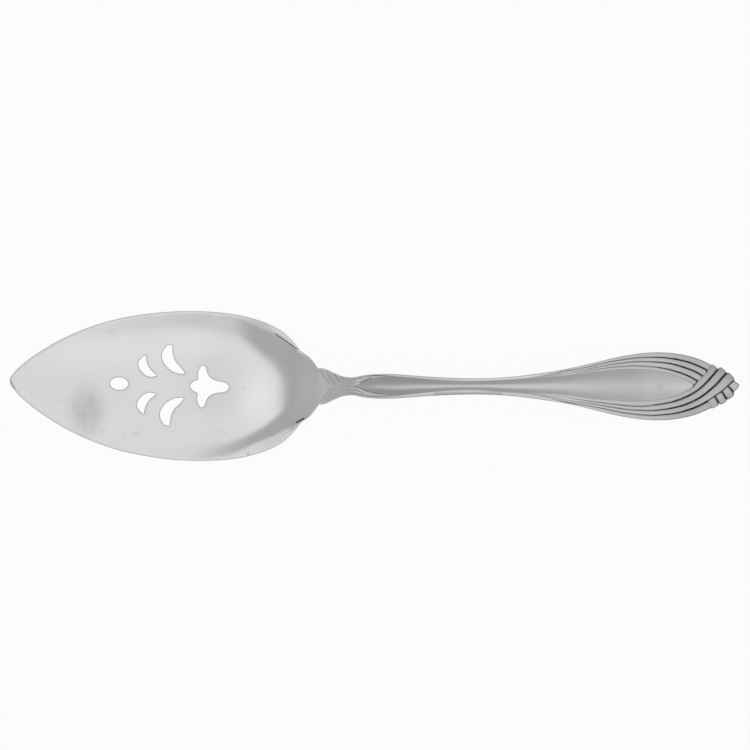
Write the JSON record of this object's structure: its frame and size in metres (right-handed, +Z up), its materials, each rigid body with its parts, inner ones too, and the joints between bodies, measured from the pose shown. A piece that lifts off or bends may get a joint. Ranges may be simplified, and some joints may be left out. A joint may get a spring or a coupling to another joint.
{
  "type": "pie server",
  "caption": "Pie server in one piece: pointed flat blade with a dished heel and pierced fleur and crescents, on an arched handle with plaited strands.",
  "frame": {"origin": "centre of the bounding box in plan, at the height of the blade's flat underside", "axes": "+X along the length from the blade's tip to the end of the handle, +Y across, +Z up from the blade's underside"},
  "size_m": [0.2668, 0.0548, 0.0212],
  "materials": {
    "steel": "satin"
  },
  "bodies": {
    "root": {"pie_server": "steel"}
  },
  "joints": []
}
